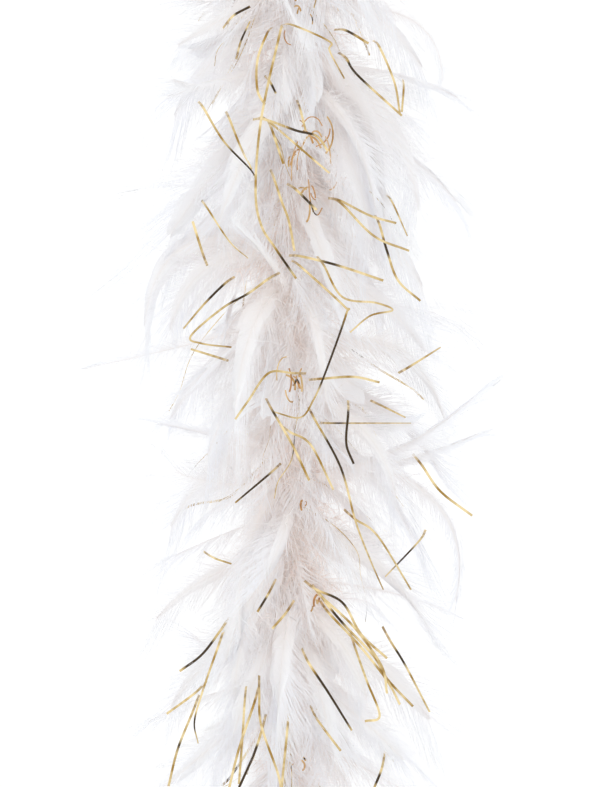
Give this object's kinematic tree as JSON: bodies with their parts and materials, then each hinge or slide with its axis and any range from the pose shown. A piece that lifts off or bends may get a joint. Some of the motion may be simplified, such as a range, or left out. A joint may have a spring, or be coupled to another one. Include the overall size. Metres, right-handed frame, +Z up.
{
  "type": "feather boa",
  "caption": "White feather boa with gold metallised strands, draped as an arch over a neck, with hanging runs that bend.",
  "frame": {"origin": "underside of the down at the top of the arch, where the boa rests on a neck or a peg", "axes": "+Z up; the arch and both runs lie in the XZ plane, with the left run at -X; -Y is the front"},
  "size_m": [0.5169, 0.2021, 0.9945],
  "materials": {
    "cord": "two-ply cotton twine, off-white, matt",
    "thread": "fine white binding thread, slight sheen",
    "down": "short white down, warm near the cord",
    "plume": "soft white feather with loose barbs, faint satin sheen",
    "tinsel": "gold metallised film strand, mirror-bright"
  },
  "bodies": {
    "neck": {"neck_cord": "cord", "neck_binding": "thread", "neck_down": "down", "neck_plumes": "plume", "neck_tinsel": "tinsel"},
    "left_1": {"left_cord_1": "cord", "left_binding_1": "thread", "left_down_1": "down", "left_plumes_1": "plume", "left_tinsel_1": "tinsel"},
    "left_2": {"left_cord_2": "cord", "left_binding_2": "thread", "left_down_2": "down", "left_plumes_2": "plume", "left_tinsel_2": "tinsel"},
    "left_3": {"left_cord_3": "cord", "left_binding_3": "thread", "left_down_3": "down", "left_plumes_3": "plume", "left_tinsel_3": "tinsel"},
    "left_4": {"left_cord_4": "cord", "left_binding_4": "thread", "left_down_4": "down", "left_plumes_4": "plume", "left_tinsel_4": "tinsel", "left_whipping": "thread", "left_knot": "cord"},
    "left_loop": {"left_loop": "cord"},
    "right_1": {"right_cord_1": "cord", "right_binding_1": "thread", "right_down_1": "down", "right_plumes_1": "plume", "right_tinsel_1": "tinsel"},
    "right_2": {"right_cord_2": "cord", "right_binding_2": "thread", "right_down_2": "down", "right_plumes_2": "plume", "right_tinsel_2": "tinsel"},
    "right_3": {"right_cord_3": "cord", "right_binding_3": "thread", "right_down_3": "down", "right_plumes_3": "plume", "right_tinsel_3": "tinsel"},
    "right_4": {"right_cord_4": "cord", "right_binding_4": "thread", "right_down_4": "down", "right_plumes_4": "plume", "right_tinsel_4": "tinsel", "right_whipping": "thread", "right_knot": "cord"},
    "right_loop": {"right_loop": "cord"}
  },
  "joints": [
    {"name": "left_bend_1", "type": "hinge", "parent": "neck", "child": "left_1", "pos_m": [-0.16, 0, -0.14], "axis": [0, 1, 0], "range_deg": [-10, 45], "deforming": ["left_plumes_1", "left_tinsel_1", "neck_plumes", "neck_tinsel"]},
    {"name": "left_bend_2", "type": "hinge", "parent": "left_1", "child": "left_2", "pos_m": [-0.16, 0, -0.30592], "axis": [-1, 0, 0], "range_deg": [-45, 45], "deforming": ["left_plumes_2", "left_tinsel_2"]},
    {"name": "left_bend_3", "type": "hinge", "parent": "left_2", "child": "left_3", "pos_m": [-0.16, 0, -0.47184], "axis": [0, 1, 0], "range_deg": [-25, 45], "deforming": ["left_plumes_3", "left_tinsel_3"]},
    {"name": "left_bend_4", "type": "hinge", "parent": "left_3", "child": "left_4", "pos_m": [-0.16, 0, -0.63775], "axis": [-1, 0, 0], "range_deg": [-45, 45], "deforming": ["left_plumes_4", "left_tinsel_4"]},
    {"name": "left_loop_swing", "type": "hinge", "parent": "left_4", "child": "left_loop", "pos_m": [-0.16, 0, -0.81837], "axis": [1, 0, 0], "range_deg": [-80, 80]},
    {"name": "right_bend_1", "type": "hinge", "parent": "neck", "child": "right_1", "pos_m": [0.16, 0, -0.14], "axis": [0, -1, 0], "range_deg": [-10, 45], "deforming": ["right_plumes_1", "right_tinsel_1"]},
    {"name": "right_bend_2", "type": "hinge", "parent": "right_1", "child": "right_2", "pos_m": [0.16, 0, -0.30592], "axis": [1, 0, 0], "range_deg": [-45, 45], "deforming": ["right_plumes_2", "right_tinsel_2"]},
    {"name": "right_bend_3", "type": "hinge", "parent": "right_2", "child": "right_3", "pos_m": [0.16, 0, -0.47184], "axis": [0, -1, 0], "range_deg": [-25, 45], "deforming": ["right_plumes_3", "right_tinsel_3"]},
    {"name": "right_bend_4", "type": "hinge", "parent": "right_3", "child": "right_4", "pos_m": [0.16, 0, -0.63775], "axis": [1, 0, 0], "range_deg": [-45, 45], "deforming": ["right_plumes_4", "right_tinsel_4"]},
    {"name": "right_loop_swing", "type": "hinge", "parent": "right_4", "child": "right_loop", "pos_m": [0.16, 0, -0.81837], "axis": [1, 0, 0], "range_deg": [-80, 80]}
  ]
}
